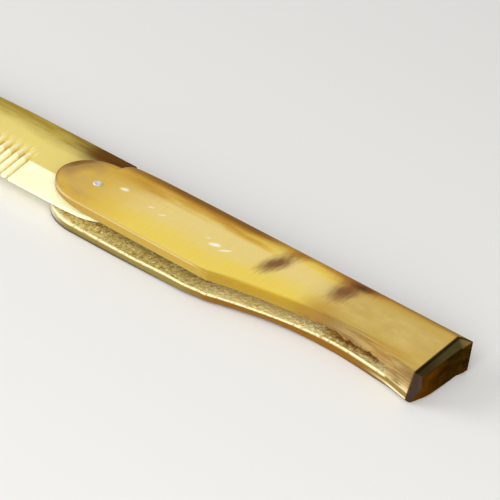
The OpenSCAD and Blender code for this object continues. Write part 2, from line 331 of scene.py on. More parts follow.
class Shell:
    """Collects grids of points, each a surface over two parameters, into one closed mesh."""

    def __init__(self):
        self.points, self.quads, self.finishes, self.count = [], [], [], 0

    def add(self, grid, finish=0, closed=False):
        """Adds a grid of shape (rows, columns, 3). closed joins its last column to its first."""
        rows, columns, _ = grid.shape
        index = self.count + np.arange(rows * columns).reshape(rows, columns)
        if closed:
            index = np.hstack([index, index[:, :1]])
        quads = np.stack([index[:-1, :-1], index[1:, :-1], index[1:, 1:], index[:-1, 1:]], -1).reshape(-1, 4)
        self.points.append(grid.reshape(-1, 3))
        self.quads.append(quads)
        self.finishes.append(np.full(len(quads), finish))
        self.count += rows * columns

    def build(self, name, materials, join=1e-3, crease=math.radians(32)):
        """Makes the object. Doubles within join are merged and creases sharper than crease stay sharp."""
        mesh = bpy.data.meshes.new(name)
        place = np.array([PIVOT.x, PIVOT.y, 0])
        mesh.from_pydata(np.concatenate(self.points) / MM + place, [], np.concatenate(self.quads).tolist())
        mesh.polygons.foreach_set("material_index", np.concatenate(self.finishes))
        made = bmesh.new()
        made.from_mesh(mesh)
        bmesh.ops.remove_doubles(made, verts=made.verts, dist=join / MM)
        bmesh.ops.dissolve_degenerate(made, edges=made.edges, dist=join / MM / 10)
        bmesh.ops.recalc_face_normals(made, faces=made.faces)
        made.to_mesh(mesh)
        made.free()
        piece = bpy.data.objects.new(name, mesh)
        bpy.context.scene.collection.objects.link(piece)
        for material in materials:
            mesh.materials.append(material)
        mesh.shade_smooth()
        mesh.set_sharp_from_angle(angle=crease)
        return piece


def drill(piece, radius, low, high):
    """Cuts a round hole on the rivet's axis through the piece."""
    cutter = Shell()
    around = np.linspace(0, 2 * np.pi, 64, endpoint=False)
    profile = np.array([[0, low], [radius, low], [radius, high], [0, high]])
    cutter.add(revolved(profile, around), closed=True)
    tool = cutter.build("drill", [])
    cut = piece.modifiers.new("Hole", "BOOLEAN")
    cut.object = tool
    cut.solver = "EXACT"
    bpy.context.view_layer.update()
    drilled = bpy.data.meshes.new_from_object(piece.evaluated_get(bpy.context.evaluated_depsgraph_get()))
    old, piece.data = piece.data, drilled
    drilled.name = old.name
    piece.modifiers.clear()
    bpy.data.objects.remove(tool)


def revolved(profile, around):
    """A profile of radius and height carried round the upright axis."""
    radius, height = profile[:, :1], profile[:, 1:]
    return np.stack([radius * np.cos(around), radius * np.sin(around), height + 0 * around], -1)


# The handle's outline


def nose_half(x, h):
    """Half width of the rounded end: an ellipse about the rivet."""
    return h.nose_w * np.sqrt(np.clip(1 - (x / h.nose_len) ** 2, 0, 1))


def near_edge(x, h):
    """Rounded end, straight to the shoulder, a power curve in to the waist and another out to the butt."""
    straight = mix(h.nose_w, h.shoulder, x / h.shoulder_x)
    inward = np.clip((h.waist_x - x) / (h.waist_x - h.shoulder_x), 0, 1)
    outward = np.clip((x - h.waist_x) / (h.butt_x - h.waist_x), 0, None)
    hollow = mix(h.waist, h.shoulder, inward**1.75)
    flare = mix(h.waist, h.butt, outward**1.5)
    return -np.select([x < 0, x < h.shoulder_x, x < h.waist_x], [nose_half(x, h), straight, hollow], flare)


def far_edge(x, h):
    """Rounded end, then a step that climbs to the straight back along two decaying curves."""
    step, step_length = 2.6, 0.75
    tail, tail_length = 1.1, 6
    corner = 0.35
    climb = h.back_y - step * np.exp(-x / step_length) - tail * np.exp(-x / tail_length)
    return soft_max(nose_half(x, h), climb, corner)


def edge(x, side, h):
    """The outline's y at x and its outward normal. side is -1 for the near edge and 1 for the far edge."""
    curve = far_edge if side > 0 else near_edge
    reach = 0.02
    y = curve(x, h)
    slope = (curve(x + reach, h) - curve(x - reach, h)) / (2 * reach)
    on_nose = x < -2
    nx = np.where(on_nose, x / h.nose_len**2, -side * slope)
    ny = np.where(on_nose, y / h.nose_w**2, side)
    size = np.hypot(nx, ny)
    return y, nx / size, ny / size


def roof_height(x, h):
    """Height of the slot's roof: level, coming down, level again."""
    fall = np.clip((x - h.slot_wide_to) / (h.slot_narrow_from - h.slot_wide_to), 0, 1)
    return h.slot_floor + mix(h.slot_mouth, h.slot_low, fall)


def butt_planes(y, z, h):
    """How far each plane filed on the butt lets it reach at y, z.

    The end face turns out beside the back, and the slope above it stops short of the back, so each of
    those two is the larger of two planes.
    """
    crease = 0.1
    slope_x = h.butt_x - h.butt_bevel
    near_y = float(near_edge(np.array(slope_x), h))

    def plane(point, normal):
        return point[0] - (normal[1] * (y - point[1]) + normal[2] * (z - point[2])) / normal[0]

    turned = (h.butt_x - 1.5, h.back_y - 2.6, 0)
    square = plane(turned, (math.cos(h.butt_skew), -math.sin(h.butt_skew), 0))
    slope = plane((slope_x, 0, h.thickness), (0.9, 0, 1))
    return {
        "end": soft_max(square, plane(turned, (2.3, -1.5, 0)), crease),
        "slope": soft_max(slope, plane((slope_x, h.back_y - 1.2, h.thickness), (1.48, -5, 4.45)), crease),
        "lower": plane((h.butt_x - 2.5, 0, 0), (1, -0.1, -1)),
        "near": plane((slope_x, near_y, h.thickness), (0.92, -1, -0.16)),
        "low corner": plane((h.butt_x - 3.7, -5, 0), (1, -0.32, -0.32)),
        "far": plane((h.butt_x - 0.3, h.back_y, 0), (1, 1, 0)),
    }


def butt_end(y, z, h):
    """How far the butt reaches at y, z: the least of its planes, with the creases between them rounded."""
    crease = 0.12
    reach, *others = butt_planes(y, z, h).values()
    for plane in others:
        reach = soft_min(reach, plane, crease)
    return reach


# The handle's surfaces


def rim_rows():
    """Rows from a lip up the side and over the bevel: the lip's turn, share of the side, bevel's turn."""
    quarter = np.pi / 2
    lip, side, bevel = 5, 3, 9
    rows = [
        np.stack([np.linspace(0, quarter, lip), np.zeros(lip), np.zeros(lip)]),
        np.stack([np.full(side, quarter), np.linspace(0, 1, side + 2)[1:-1], np.zeros(side)]),
        np.stack([np.full(bevel, quarter), np.ones(bevel), np.linspace(0, quarter, bevel)]),
    ]
    return np.hstack(rows)


def skin_rows(across):
    """Rows of a whole cheek, from the near lip over its face to the far lip, with their share across."""
    rim = rim_rows()
    face = np.repeat(rim[:, -1:], across, axis=1)
    rows = np.hstack([rim, face, rim[:, ::-1]])
    rim_count = rim.shape[1]
    shares = np.linspace(0, 1, across + 2)[1:-1]
    return (*rows, np.concatenate([np.zeros(rim_count), shares, np.ones(rim_count)]))


def lip_wear(x, h):
    """How far the lower lip is worn down: evenly beside the comb's heel, then less and less."""
    return h.lip_wear * plateau(x, -7, -2, 18, 30)


def lower_inset(x, h):
    """How much further in the lower cheek's near edge is than the upper's."""
    return h.lower_in * plateau(x, 34, 41, 90, 99)


def lip_notches(x, h):
    """How far the upper lip is torn back towards the slot's end: a sum of narrow humps at random places."""
    draw = np.random.default_rng(5)
    count = 40
    place = draw.uniform(66, h.slot_end - 1.2, count)
    width = draw.uniform(0.3, 0.9, count)
    size = draw.uniform(-0.5, 1, count) * h.notch
    humps = size * np.exp(-(((x[..., None] - place) / width) ** 2))
    return humps.sum(-1) * plateau(x, 63, 69, h.slot_end - 1.5, h.slot_end)


def bevel_width(x, side, face, h):
    """Width of the bevel at x: wider on the near edge at the waist, and below at the butt too."""
    if side > 0:
        return mix(h.edge_bevel, h.back_bevel if face > 0 else h.edge_bevel, eased(x, 0, 0.9))
    if face > 0:
        at_waist = hump(x, h.shoulder_x, h.waist_bevel_at, h.waist_bevel_to)
        return mix(h.edge_bevel, h.upper_waist_bevel, at_waist)
    at_waist = hump(x, h.lower_bevel_from, h.waist_bevel_at, h.waist_bevel_to)
    at_butt = eased(x, h.butt_bevel_from, h.butt_bevel_from + h.butt_bevel_run)
    wider = (h.lower_butt_bevel - h.edge_bevel) * at_butt
    return mix(h.edge_bevel, h.lower_waist_bevel, at_waist) + wider


def rim_points(x, side, face, rows, wall_x, h):
    """Points of an edge at x, one for each row. side is -1 for the near edge, face -1 for the lower cheek."""
    lip_turn, up, bevel_turn = rows
    y, nx, ny = edge(x, side, h)
    steepness = 0.75
    width = bevel_width(x, side, face, h)
    base, plane = (roof_height(x, h), h.thickness) if face > 0 else (h.slot_floor + 0 * x, 0.0)
    lip = h.lip * (eased(x, wall_x, wall_x - 1.5) if side > 0 else eased(x, h.slot_end, h.slot_end - 1.2))
    if side < 0 < face:
        base = base + lip_notches(x, h) + h.lip_lift * eased(x, 4, -4)
    elif side < 0:
        base = base - lip_wear(x, h)
        y = y + lower_inset(x, h)
    inset = lip * (1 - np.sin(lip_turn)) + width * (1 - np.cos(bevel_turn))
    low = base + face * lip * (1 - np.cos(lip_turn))
    rise = face * width * steepness
    z = mix(low, plane - rise, up) + rise * np.sin(bevel_turn)
    return np.stack([x - nx * inset, y - ny * inset, z + 0 * x], -1)


def skin_points(x, face, rows, wall_x, h):
    """Points of a cheek's skin: the near rim, straight lines across the face and the far rim."""
    *rim, share_across = rows
    near = rim_points(x, -1, face, rim, wall_x, h)
    far = rim_points(x, 1, face, rim, wall_x, h)
    return mix(near, far, share_across[..., None])


def wall_points(x, side, shares, h):
    """Points of the wall between the slot's floor and roof levels, on the outline."""
    y, _, _ = edge(x, side, h)
    z = mix(h.slot_floor, roof_height(x, h), shares)
    inward = (1 - shares) * lower_inset(x, h) * (side < 0)
    return np.stack([x + 0 * z, y + inward, z], -1)


def to_butt(points, start, count, h):
    """Carries a row function from the slot's end until each of its rows meets the butt's end."""
    first_guess, rounds = 8.0, 6
    end = np.array([[start + first_guess]])
    for _ in range(rounds):
        p = points(end)
        end = end + butt_end(p[..., 1], p[..., 2], h) - h.butt_rim - p[..., 0]
    return points(mix(start, end, np.linspace(0, 1, count)[:, None]))


def handle_stations(wall_x, h):
    """Places along the handle: close at the tip and in the step, with one at the shoulder."""
    tip = -h.nose_len * np.cos(np.radians(np.linspace(0, 80, 26)))
    step = np.linspace(-1.6, wall_x, 15)
    climb = np.linspace(wall_x, 3, 18)[1:]
    straight = np.linspace(3, h.shoulder_x, 70)[1:]
    waist = np.linspace(h.shoulder_x, 64, 48)[1:]
    notched = np.linspace(64, h.slot_end, 112)[1:]
    return np.concatenate([tip, step, climb, straight, waist, notched])


def saw_marks(x, y, h):
    """Shallow grooves of a hand saw: straight lines over the cheek, each with its slant, place and depth."""
    draw = np.random.default_rng(11)
    count = 150
    place = draw.uniform(-12, h.slot_end, count)
    slant = np.radians(draw.normal(68, 9, count))
    depth = draw.uniform(0.2, 1, count) * h.saw_depth
    width = draw.uniform(0.3, 0.75, count)
    away = (x[..., None] - place) * np.sin(slant) - (y[..., None] + 9) * np.cos(slant)
    return -(depth * np.exp(-((away / width) ** 2))).sum(-1).clip(0, 3 * h.saw_depth)


def sawn_grain(x, y, h):
    """Even roughness: a sum of waves with random directions and lengths."""
    draw = np.random.default_rng(23)
    count = 36
    heading = draw.uniform(0, 2 * np.pi, count)
    wave = 2 * np.pi / draw.uniform(0.9, 2.2, count)
    phase = draw.uniform(0, 2 * np.pi, count)
    along = x[..., None] * np.cos(heading) + y[..., None] * np.sin(heading)
    return h.grain_depth * np.sin(wave * along + phase).sum(-1)


def plunge_marks(x, y, h):
    """Round scallops where the saw was plunged in near the slot's end."""
    marks, longest, slant = 0, 5.5, 0.5
    # Each scallop: its place along the handle, half its width and its share of the full size
    scallops = (
        (72.8, 1.2, 0.5),
        (75.6, 1.4, 0.7),
        (78.4, 1.3, 0.8),
        (81.4, 1.5, 0.9),
        (84.6, 1.6, 0.8),
        (88.2, 1.8, 1.0),
    )
    for place, reach, size in scallops:
        inward = (y - near_edge(x, h)) / (longest * size)
        bowl = np.clip(1 - ((x - place + slant * inward) / reach) ** 2, 0, 1)
        marks = marks + size * np.sqrt(bowl) * np.clip(1 - inward**2, 0, 1)
    return -h.plunge_depth * marks


def slot_sheet(near, far, depth, height, ease, h, upward):
    """The slot's floor or roof: straight lines in from the near lip, roughened by the saw but at its borders.

    Its height eases from the lip's to its own over the length ease.
    """
    sheet = mix(near[:, None], far[:, None], depth[None, :, None])
    x, y = sheet[..., 0], sheet[..., 1]
    at_lip = 1 - ramp((y - y[:, :1]) / ease)
    fade = plateau(depth, 0, 0.02, 0.95, 1)
    rough = (saw_marks(x, y, h) + sawn_grain(x, y, h) + plunge_marks(x, y, h)) * fade
    rough = rough * plateau(x, x.min(), x.min() + 1.5, h.slot_end - 0.8, h.slot_end)
    sheet[..., 2] = mix(height[:, None], near[:, None, 2], at_lip) + (-rough if upward else rough)
    return sheet


def make_handle(h, materials):
    """The handle as one closed skin: two cheeks, the wall behind the slot, the slot's inside and the butt."""
    polished, sawn = 0, 1
    wall_y = h.back_y - h.wall
    fine = np.linspace(0, 3, 3000)
    wall_x = float(np.interp(wall_y, far_edge(fine, h), fine))
    x = handle_stations(wall_x, h)
    from_wall = x[x >= wall_x - 1e-9]
    rows = skin_rows(42)
    shares = np.linspace(0, 1, 7)
    shell = Shell()

    # The outside. The lower cheek's rounded end reaches further out
    low = SimpleNamespace(**{**vars(h), "nose_len": h.lower_nose})
    low_x = np.where(x < 0, x * h.lower_nose / h.nose_len, x)
    upper = skin_points(x[:, None], 1, rows, wall_x, h)
    lower = skin_points(low_x[:, None], -1, rows, wall_x, low)
    shell.add(upper, polished)
    shell.add(lower, polished)
    shell.add(wall_points(from_wall[:, None], 1, shares, h), polished)

    # The slot: its roof and floor, the wall behind it and its closed end
    walled = slice(-len(from_wall), None)
    depth = spaced(42, 0.3) ** 1.45
    sheets = []
    roof_ease, floor_ease = 1.6, 3.5
    inner = ((upper, roof_height(x, h), roof_ease, True), (lower, h.slot_floor + 0 * x, floor_ease, False))
    for skin, height, ease, upward in inner:
        near, far = skin[:, 0], skin[:, -1].copy()
        far[walled, 0] = from_wall
        far[walled, 1] = wall_y
        sheets.append(slot_sheet(near, far, depth, height, ease, h, upward))
        shell.add(sheets[-1], sawn)
    roof, floor = sheets
    shell.add(mix(floor[walled, -1:], roof[walled, -1:], shares[None, :, None]), sawn)
    shell.add(mix(floor[-1][:, None], roof[-1][:, None], shares[None, :, None]), sawn)

    # From the slot's end to the butt
    count = 24
    parts = [
        to_butt(lambda p: wall_points(p, -1, shares, h), h.slot_end, count, h),
        to_butt(lambda p: skin_points(p, 1, rows, wall_x, h), h.slot_end, count, h),
        to_butt(lambda p: wall_points(p, 1, shares, h), h.slot_end, count, h)[:, ::-1],
        to_butt(lambda p: skin_points(p, -1, rows, wall_x, h), h.slot_end, count, h)[:, ::-1],
    ]
    for part in parts:
        shell.add(part, polished)
    shell.add(butt_cap(np.concatenate([part[-1] for part in parts]), h), polished, closed=True)
    return shell.build("handle_horn", materials)


def butt_cap(loop, h):
    """The butt's end: rings that shrink from the skin's last loop to the middle, on the butt's planes."""
    middle = np.array([(loop[:, 1].min() + loop[:, 1].max()) / 2, h.thickness / 2])
    rim = h.butt_rim * np.array([0, 0.1, 0.3, 0.6, 1.0])
    depth = np.concatenate([rim, np.linspace(rim[-1], h.thickness / 2, 44)[1:]])[:, None]
    shrink_z = depth / (h.thickness / 2)
    shrink_y = mix(shrink_z / 2, 1, shrink_z**3)
    y = mix(loop[:, 1], middle[0], np.clip(shrink_y, 0, 1))
    z = mix(loop[:, 2], middle[1], shrink_z)
    inward = np.clip(1 - depth / h.butt_rim, 0, 1)
    rounding = h.butt_rim * (1 - np.sqrt(1 - inward**2))
    return np.stack([butt_end(y, z, h) - rounding, y, z], -1)


# The comb


def rounded(distance, reach, power=2.4):
    """Share of the full thickness at a distance in from an edge: 0 at the edge, 1 past reach."""
    away = np.clip(1 - distance / reach, 0, 1)
    return (1 - away**power) ** (1 / power)


def tooth_count(c):
    """How many teeth fit between the two guards."""
    return int((c.tip - c.end_guard - c.first_gap) // c.pitch)


def low_edge(x, in_teeth, c):
    """The comb's lower edge: level, a quarter round at each guard's corner, then in to the round heel."""
    side = -c.first_gap + c.gap / 2
    tip_away = np.clip((c.guard_corner - c.tip - x) / c.guard_corner, 0, 1)
    gap_away = np.where(in_teeth | (x < side - 1e-6), 0, np.clip((side + c.gap - x) / c.gap, 0, 1))
    corners = c.guard_corner * (1 - np.sqrt(1 - tip_away**2)) + c.gap * (1 - np.sqrt(1 - gap_away**2))
    heel = -np.sqrt(np.clip(c.heel**2 - x**2, 0, None))
    return np.where(x > 0, heel, mix(-c.teeth, -c.heel, eased(x, -4, 0)) + corners)


def high_edge(x, c):
    """The comb's upper edge: the straight spine and its quarter-round corner."""
    away = np.clip((c.spine_corner - c.tip - x) / c.spine_corner, 0, 1)
    return c.spine - c.spine_corner * (1 - np.sqrt(1 - away**2))


def comb_columns(c):
    """Columns across the teeth: each one's x, its tooth's middle, its share across the tooth and its kind."""
    guard, tooth, gap = 0, 1, 2
    teeth = tooth_count(c)
    half = (c.pitch - c.gap) / 2
    last = -(c.first_gap + teeth * c.pitch)
    across = np.cos(np.linspace(np.pi, 0, 13))
    u = np.sign(across) * np.abs(across) ** 0.75
    edge_steps = np.array([0, 0.04, 0.12, 0.25, 0.42, 0.65, 0.95])
    columns = []

    def put(x, kind, middle=0.0, share_across=0.0):
        x = np.atleast_1d(x).astype(float)
        columns.append(np.stack([x, np.full(len(x), middle), share_across + 0 * x, np.full(len(x), kind)]))

    start, stop = -c.tip, last - c.gap / 2
    put(start + edge_steps, guard)
    put(np.linspace(start + 1.4, stop - 1.4, 14), guard)
    put(stop - edge_steps[::-1], guard)
    for i in range(teeth, -1, -1):
        middle = -(c.first_gap + i * c.pitch)
        put(middle + c.gap * np.array([-0.25, 0, 0.25]), gap)
        if i:
            centre = middle + c.pitch / 2
            put(centre + u * half, tooth, centre, u)
    start = -c.first_gap + c.gap / 2
    put(start + edge_steps, guard)
    put(np.linspace(start + 1.4, c.heel_x - 1.4, 30), guard)
    put(c.heel_x - edge_steps[::-1], guard)
    turned = np.linspace(0, np.pi / 2, 22)[1:]
    put(c.heel_x + (c.heel - c.heel_x) * np.sin(turned), guard)
    return np.hstack(columns)


def make_comb(c, materials):
    """The comb as an upper and a lower sheet over one grid, which meet where its thickness is nothing.

    Columns run across the teeth and rows along them. The thickness is the wedge and the taper, times a
    rounding that falls to nothing at every edge, at the sides of each tooth and in each saw cut.
    """
    x, middle, u, kind = (row[:, None] for row in comb_columns(c))
    is_tooth, is_gap = kind == 1, kind == 2
    half = (c.pitch - c.gap) / 2
    gap_side = -c.first_gap + c.gap / 2

    tip_steps = np.array([0, 0.03, 0.1, 0.2, 0.33, 0.5, 0.68, half])
    to_crease = np.array([0.2, 0.45, 0.7, 0.9, 0.985, 1])
    to_root = np.concatenate([[0.02], np.linspace(0.15, 0.85, 6), [0.94, 1]])
    run_out = np.array([0.06, 0.14, 0.25, 0.4, 0.6, 0.8, 1])
    to_heel = np.array([0.35, 0.7, 0.88, 0.94, 0.975, 0.99, 1])
    at_spine = [0.87, 0.92, 0.955, 0.98, 0.993, 1]
    to_spine = np.concatenate([[0.01, 0.03, 0.07], np.linspace(0.15, 0.8, 6), at_spine])

    inside = np.minimum(x, c.heel_x)
    level = low_edge(inside, is_tooth | is_gap, c)
    top = high_edge(x, c)
    second_gap = -c.first_gap - c.pitch + c.gap / 2
    first_tooth = np.clip((x - second_gap) / (gap_side - c.gap - second_gap), 0, 1)
    root = c.root - c.short_root * first_tooth
    run = np.minimum(c.run_out, 0.45 * (top - root))
    past = root + run
    heel_top = math.sqrt(c.heel**2 - c.heel_x**2)
    shelf = mix(mix(past, top, 0.35), heel_top, eased(x, -26, -18))
    rows = [level + tip_steps]
    rows.append(mix(level + half, c.crease, to_crease))
    rows.append(mix(c.crease + 0 * x, root, to_root))
    rows.append(root + run * run_out)
    rows.append(mix(past, shelf, to_heel))
    shelf_row = sum(part.shape[1] for part in rows) - 1
    rows.append(mix(shelf, top, to_spine))
    y = np.hstack(rows)
    root_row = len(tip_steps) + len(to_crease) + len(to_root) - 1

    # Right of the shoulder the rows up to the shelf shrink into the round heel
    on_heel = x > c.heel_x
    squeeze = np.sqrt(np.clip(c.heel**2 - x**2, 0, None)) / heel_top
    above_shelf = np.arange(y.shape[1])[None] >= shelf_row
    y = np.where(on_heel, np.where(above_shelf, heel_top, y) * squeeze, y)

    # Each tooth narrows to a round point
    from_edge = np.where(on_heel, half, np.clip(y - level, 0, None))
    narrow = np.sqrt(1 - np.clip(1 - from_edge / half, 0, 1) ** 2)
    x = np.where(is_tooth, middle + u * half * narrow, x + 0 * y)

    wedge = np.clip((c.crease - y) / (c.crease + c.teeth + 0.2), 0, 1)
    half_thick = mix(c.thickness, c.point_thickness, wedge) / 2
    thin = np.clip((-x - c.taper_from) / (c.taper_to - c.taper_from), 0, 1)
    mid = c.floor + c.thickness / 2
    high = np.minimum(mid + half_thick, c.floor + mix(c.thickness, c.tip_thickness, thin))
    low = mid - half_thick

    # Rounding by the distance in from each edge
    edge_low = np.where(is_tooth, rounded(from_edge, half, 2), rounded(from_edge, c.thin_edge))
    edge_low = np.where(is_gap, 1, edge_low)
    edge_high = np.where(on_heel, 1, rounded(top - y, c.edge_round))
    shoulder = np.where(y >= heel_top, c.heel_x - x, np.hypot(x - c.heel_x, y - heel_top))
    shoulder = np.where(on_heel, c.heel - np.hypot(x, y), np.where(y > 0, shoulder, c.edge_round))
    last_side = -(c.first_gap + tooth_count(c) * c.pitch) - c.gap / 2
    beside_gap = np.where(x > second_gap, x - gap_side, last_side - x)
    side = rounded(np.maximum(beside_gap, 0), c.edge_round)
    crown = (1 - np.clip(np.abs(u), 0, 1) ** 4) ** (1 / 2.2)
    side = np.where(is_tooth, crown, np.where(is_gap, 0, side))
    cut = 1 - (1 - np.clip((y - root) / run, 0, 1)) ** 2.6
    factor = edge_low * edge_high * rounded(x + c.tip, c.edge_round) * rounded(shoulder, c.edge_round)
    height = (high - low) / 2 * factor * mix(side, 1, cut)

    used = np.ones((x.shape[0] - 1, x.shape[1] - 1), bool)
    used[(is_gap[:-1] | is_gap[1:])[:, 0], :root_row] = False
    used[on_heel[1:, 0], shelf_row:] = False
    keep = np.tile(used.reshape(-1), 2)

    shell = Shell()
    for sign in (1, -1):
        shell.add(np.stack([x, y, (high + low) / 2 + sign * height], -1))
    shell.quads = [np.concatenate(shell.quads)[keep]]
    shell.finishes = [np.concatenate(shell.finishes)[keep]]
    return shell.build("comb_horn", materials)


# The rivet


def make_rivet(r, top, materials):
    """A turned head with an eased shoulder and a punched dimple, on a plain shank that ends flush below."""
    ease = np.radians(np.linspace(0, 90, 9))[:, None]
    corner = 0.6 * r.proud
    shoulder = np.hstack([r.head - corner * (1 - np.cos(ease)), top + r.proud - corner * (1 - np.sin(ease))])
    inside = np.linspace(1, 0, 9)[:, None]
    dish = r.proud - r.dimple_depth * (1 - inside**2) ** 1.5
    dimple = np.hstack([r.dimple * inside, top + dish])
    foot = np.array([[0, 0], [r.shank - 0.1, 0], [r.shank, 0.1], [r.shank, top], [r.head, top]])
    profile = np.vstack([foot, shoulder, dimple])
    shell = Shell()
    shell.add(revolved(profile, np.linspace(0, 2 * np.pi, 64, endpoint=False)), closed=True)
    return shell.build("rivet_steel", materials)


# Nodes


class Painter:
    """Adds the nodes of one tree. A value given to it is a number, a colour or another node's socket."""

    def __init__(self, tree, nodes=None):
        self.tree, self.nodes = tree, nodes

    def wire(self, node, inputs):
        """Sets a node's inputs, named or numbered in a dict, or links them to other nodes' sockets."""
        for key, value in inputs.items():
            if isinstance(value, bpy.types.NodeSocket):
                self.tree.links.new(value, node.inputs[key])
            else:
                node.inputs[key].default_value = value

    def add(self, kind, inputs=None, **settings):
        """Adds a node, sets its settings and then its inputs."""
        node = self.tree.nodes.new(kind)
        for key, value in settings.items():
            setattr(node, key, value)
        self.wire(node, inputs or {})
        return node

    def calc(self, operation, *values):
        """A number worked out from numbers or sockets."""
        return self.add("ShaderNodeMath", dict(enumerate(values)), operation=operation).outputs[0]

    def both(self, mask, *others):
        """The product of masks and strengths."""
        for other in others:
            mask = self.calc("MULTIPLY", other, mask)
        return mask

    def vector(self, operation, *values):
        """A vector, or a length, worked out from vectors or sockets."""
        node = self.add("ShaderNodeVectorMath", dict(enumerate(values)), operation=operation)
        return node.outputs["Value" if operation == "LENGTH" else "Vector"]

    def spun(self, place, angle):
        """A place turned about the upright axis."""
        inputs = {"Vector": place, "Angle": angle}
        return self.add("ShaderNodeVectorRotate", inputs, rotation_type="Z_AXIS").outputs[0]

    def noise(self, place, detail, roughness):
        """Even noise with one wave to a unit."""
        inputs = {"Vector": place, "Scale": 1.0, "Detail": detail, "Roughness": roughness}
        return self.add("ShaderNodeTexNoise", inputs).outputs["Fac"]

    def remap(self, value, low, high, at_low, at_high, kind="SMOOTHSTEP"):
        """A value between low and high carried to the span from at_low to at_high, and held past them."""
        inputs = {"Value": value, "From Min": low, "From Max": high, "To Min": at_low, "To Max": at_high}
        return self.add("ShaderNodeMapRange", inputs, interpolation_type=kind).outputs[0]

    def rise(self, value, low, high, least=0.0):
        """A soft mask that goes from its least up to 1 as the value goes from low to high."""
        return self.remap(value, low, high, least, 1.0)

    def fall(self, value, low, high, least=0.0):
        """A soft mask that goes from 1 down to its least as the value goes from low to high."""
        return self.remap(value, low, high, 1.0, least)

    def span(self, mask, at_none, at_full):
        """A number that goes evenly from one value to another as a mask fills."""
        return self.remap(mask, 0.0, 1.0, at_none, at_full, "LINEAR")

    def shared(self, made, inputs):
        """Places a shared node group with its own values, and gives its mask."""
        return self.add("ShaderNodeGroup", inputs, node_tree=made).outputs["Mask"]

    def streak(self, place, scale, low, high):
        """Noise drawn out along the axes with a small scale, and cut between two levels."""
        return self.shared(self.nodes.streaks, {"Vector": place, "Scale": scale, "Low": low, "High": high})

    def band(self, value, start, full, hold, end):
        """A soft band of a value."""
        limits = {"Value": value, "Start": start, "Full": full, "Hold": hold, "End": end}
        return self.shared(self.nodes.band, limits)

    def spot(self, place, centre, degrees, size, fray, soft):
        """A soft oval spot on the upper face, with its centre and half sizes in millimetres."""
        face_z, through = 10, 30
        form = {"Centre": (*centre, face_z), "Turn": -math.radians(degrees), "Size": (*size, through)}
        return self.shared(self.nodes.patch, {"Vector": place, **form, "Fray": fray, "Soft": soft})

    def layered(self, base, layers):
        """Lays colours over a base in order. A layer is a colour, a strength and the masks that limit it."""
        under, over, mixed = 6, 7, 2
        for tint, strength, *masks in layers:
            inputs = {"Factor": self.both(strength, *masks), under: base, over: tint}
            base = self.add("ShaderNodeMix", inputs, data_type="RGBA").outputs[mixed]
        return base

    def bump(self, height, strength, depth):
        """The normal of a face raised by a height, with its depth in millimetres."""
        inputs = {"Height": height, "Strength": strength, "Distance": depth / MM}
        return self.add("ShaderNodeBump", inputs).outputs[0]

    def attributes(self, *names):
        """Numbers that the mesh holds at each vertex."""
        return [self.add("ShaderNodeAttribute", attribute_name=name).outputs["Fac"] for name in names]

    def place_mm(self):
        """The place in the piece, in millimetres from the rivet's axis and the handle's lower face."""
        place = self.add("ShaderNodeTexCoord").outputs["Object"]
        return self.vector("MULTIPLY", self.vector("SUBTRACT", place, (PIVOT.x, PIVOT.y, 0)), (MM, MM, MM))

    def axes(self, place):
        """A place's x, y and z."""
        return self.add("ShaderNodeSeparateXYZ", {0: place}).outputs


def group(name, inputs):
    """An empty node group with these inputs, each with the kind of its socket, that puts out one mask."""
    tree = bpy.data.node_groups.new(name, "ShaderNodeTree")
    for socket, kind in inputs.items():
        tree.interface.new_socket(socket, in_out="INPUT", socket_type="NodeSocket" + kind)
    tree.interface.new_socket("Mask", in_out="OUTPUT", socket_type="NodeSocketFloat")
    return Painter(tree), tree.nodes.new("NodeGroupInput").outputs, tree.nodes.new("NodeGroupOutput")


def streak_group():
    """Noise drawn out into streaks: its place is scaled along each axis, and it is cut between two levels."""
    inputs = {"Vector": "Vector", "Scale": "Vector", "Low": "Float", "High": "Float"}
    paint, given, out = group("horn streaks", inputs)
    place = paint.vector("MULTIPLY", given["Vector"], given["Scale"])
    paint.wire(out, {"Mask": paint.rise(paint.noise(place, 4.0, 0.6), given["Low"], given["High"])})
    return paint.tree


def band_group():
    """A soft band: rises between Start and Full and falls between Hold and End."""
    inputs = dict.fromkeys(("Value", "Start", "Full", "Hold", "End"), "Float")
    paint, given, out = group("horn band", inputs)
    start = paint.rise(given["Value"], given["Start"], given["Full"])
    end = paint.fall(given["Value"], given["Hold"], given["End"])
    paint.wire(out, {"Mask": paint.both(start, end)})
    return paint.tree


def patch_group():
    """A soft oval: the place is moved, turned and scaled about its centre, frayed by noise and faded out."""
    vectors = dict.fromkeys(("Vector", "Centre", "Size"), "Vector")
    numbers = dict.fromkeys(("Turn", "Fray", "Soft"), "Float")
    paint, given, out = group("horn patch", {**vectors, **numbers})
    place = paint.vector("SUBTRACT", given["Vector"], given["Centre"])
    local = paint.vector("DIVIDE", paint.spun(place, given["Turn"]), given["Size"])
    fibres = paint.noise(paint.vector("MULTIPLY", place, (1.1, 0.3, 1.0)), 3.0, 0.5)
    uneven = paint.both(paint.calc("SUBTRACT", fibres, 0.5), given["Fray"])
    frayed = paint.calc("ADD", paint.vector("LENGTH", local), uneven)
    paint.wire(out, {"Mask": paint.fall(frayed, paint.calc("SUBTRACT", 1.0, given["Soft"]), 1.0)})
    return paint.tree


def groups():
    """The node groups that the materials share, made once."""
    have = bpy.data.node_groups.get
    return SimpleNamespace(
        streaks=have("horn streaks") or streak_group(),
        band=have("horn band") or band_group(),
        patch=have("horn patch") or patch_group(),
    )


# Materials


